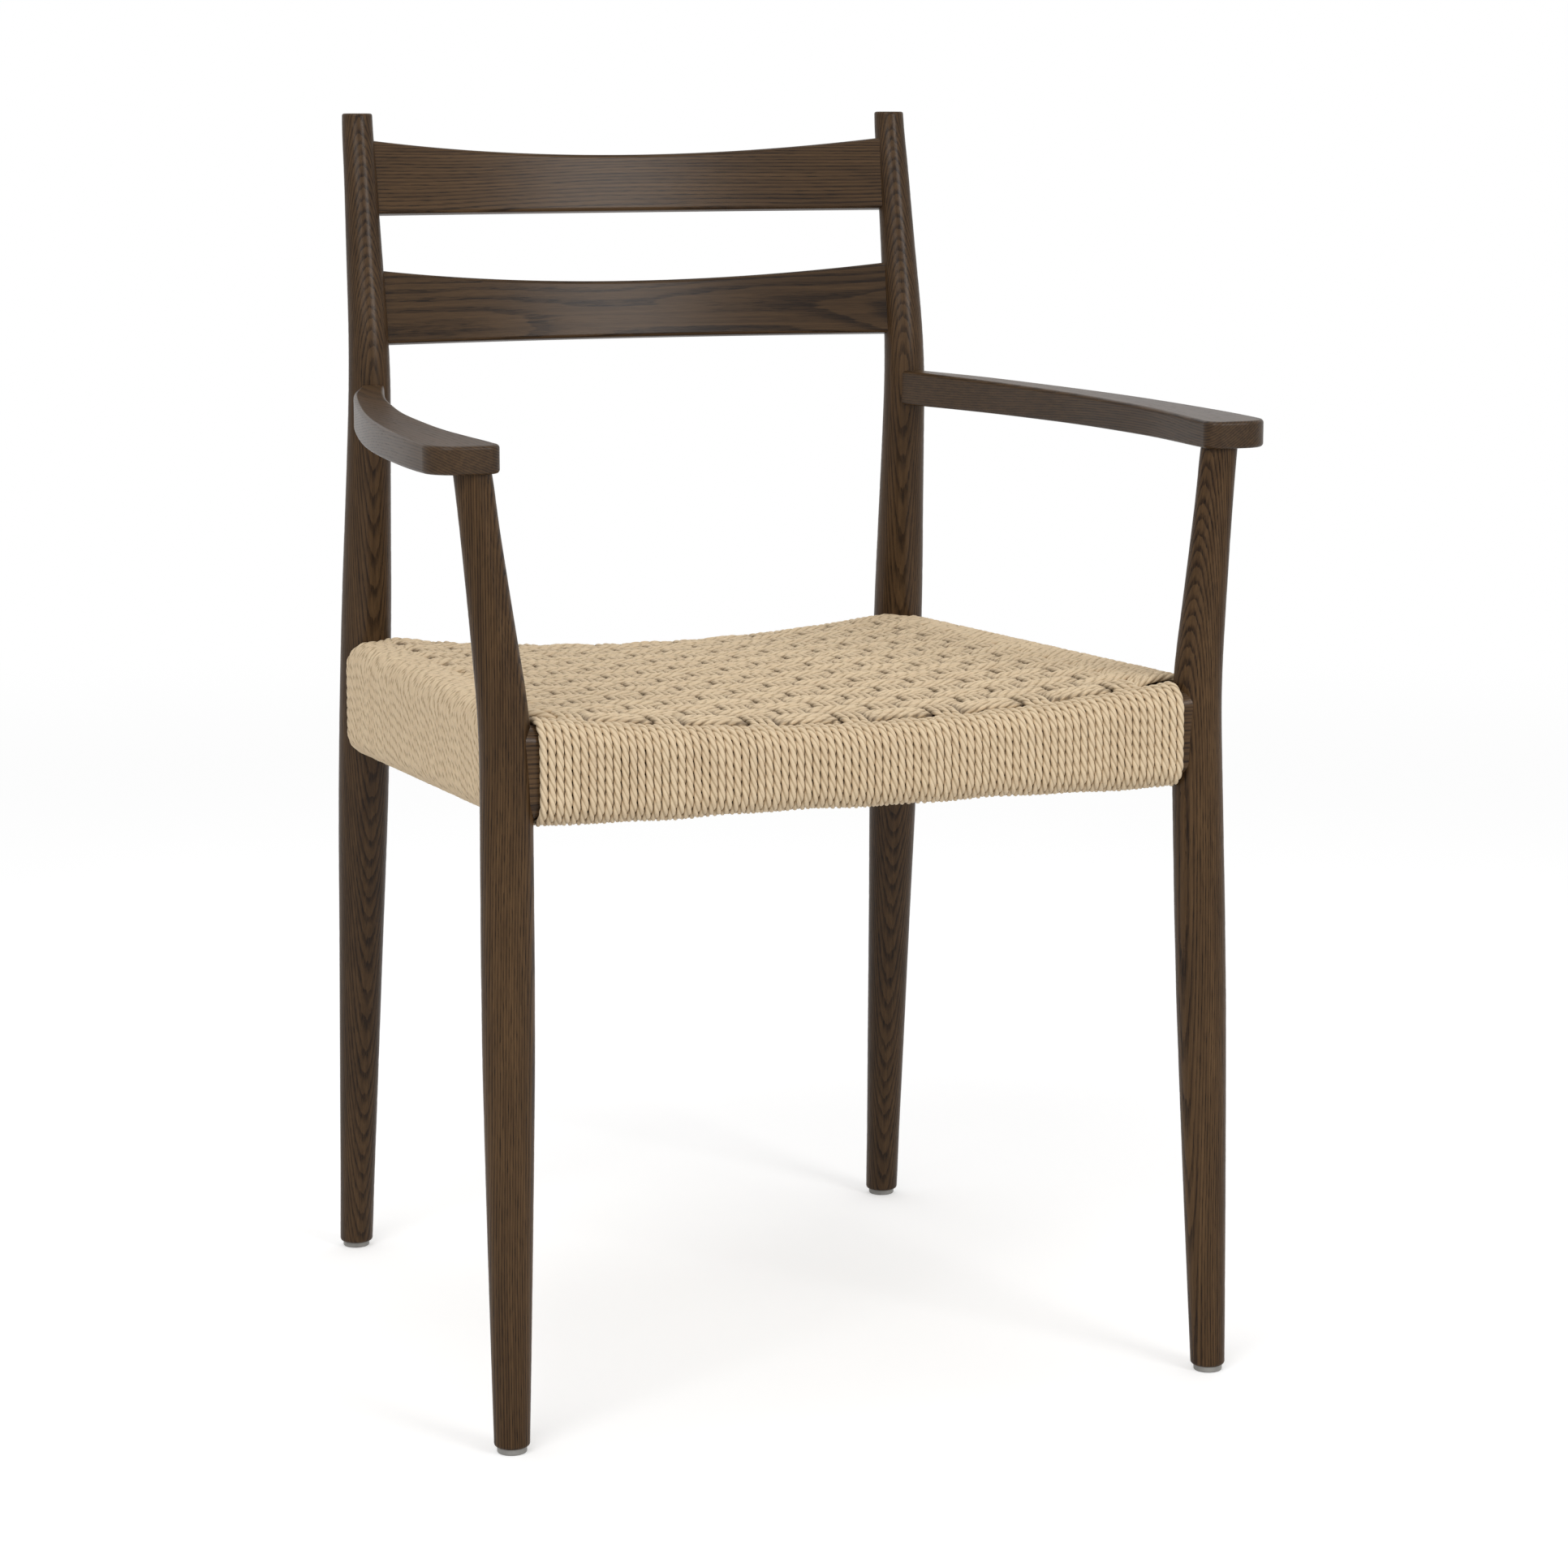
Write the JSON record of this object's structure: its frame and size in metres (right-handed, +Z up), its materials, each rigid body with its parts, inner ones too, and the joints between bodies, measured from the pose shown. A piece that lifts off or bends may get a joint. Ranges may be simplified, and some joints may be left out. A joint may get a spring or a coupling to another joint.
{
  "type": "dining armchair",
  "caption": "Slim wooden dining armchair with bowed back slats, curved armrests, round tapered legs and a seat woven from twisted paper cord.",
  "frame": {"origin": "on the floor, in the middle of the chair's overall box seen from above", "axes": "+Z up, the sitter faces -Y, X across the chair, symmetric about X = 0"},
  "size_m": [0.565, 0.5159, 0.82],
  "materials": {
    "stained_ash": "dark brown stain under a satin clear coat, open straight grain",
    "paper_cord": "matt natural paper cord with a light wax sheen",
    "dowel_wood": "plain sanded wood",
    "nail_steel": "plain drawn wire",
    "glide_plastic": "grey slightly cloudy plastic"
  },
  "bodies": {
    "root": {"upper_slat": "stained_ash", "lower_slat": "stained_ash", "front_rail": "stained_ash", "rear_rail": "stained_ash", "front_leg_left": "stained_ash", "rear_post_left": "stained_ash", "armrest_left": "stained_ash", "side_rail_left": "stained_ash", "front_leg_right": "stained_ash", "rear_post_right": "stained_ash", "armrest_right": "stained_ash", "side_rail_right": "stained_ash", "front_rail_cord_wrap": "paper_cord", "rear_rail_cord_wrap": "paper_cord", "side_rail_cord_wrap_left": "paper_cord", "side_rail_cord_wrap_right": "paper_cord", "woven_seat": "paper_cord", "front_rail_dowels": "dowel_wood", "rear_rail_dowels": "dowel_wood", "side_rail_dowels_left": "dowel_wood", "armrest_dowels_left": "dowel_wood", "side_rail_dowels_right": "dowel_wood", "armrest_dowels_right": "dowel_wood", "front_rail_cord_nails": "nail_steel", "rear_rail_cord_nails": "nail_steel", "glide_pins": "nail_steel", "side_rail_cord_nails_left": "nail_steel", "side_rail_cord_nails_right": "nail_steel", "front_glide_left": "glide_plastic", "rear_glide_left": "glide_plastic", "front_glide_right": "glide_plastic", "rear_glide_right": "glide_plastic"}
  },
  "joints": []
}
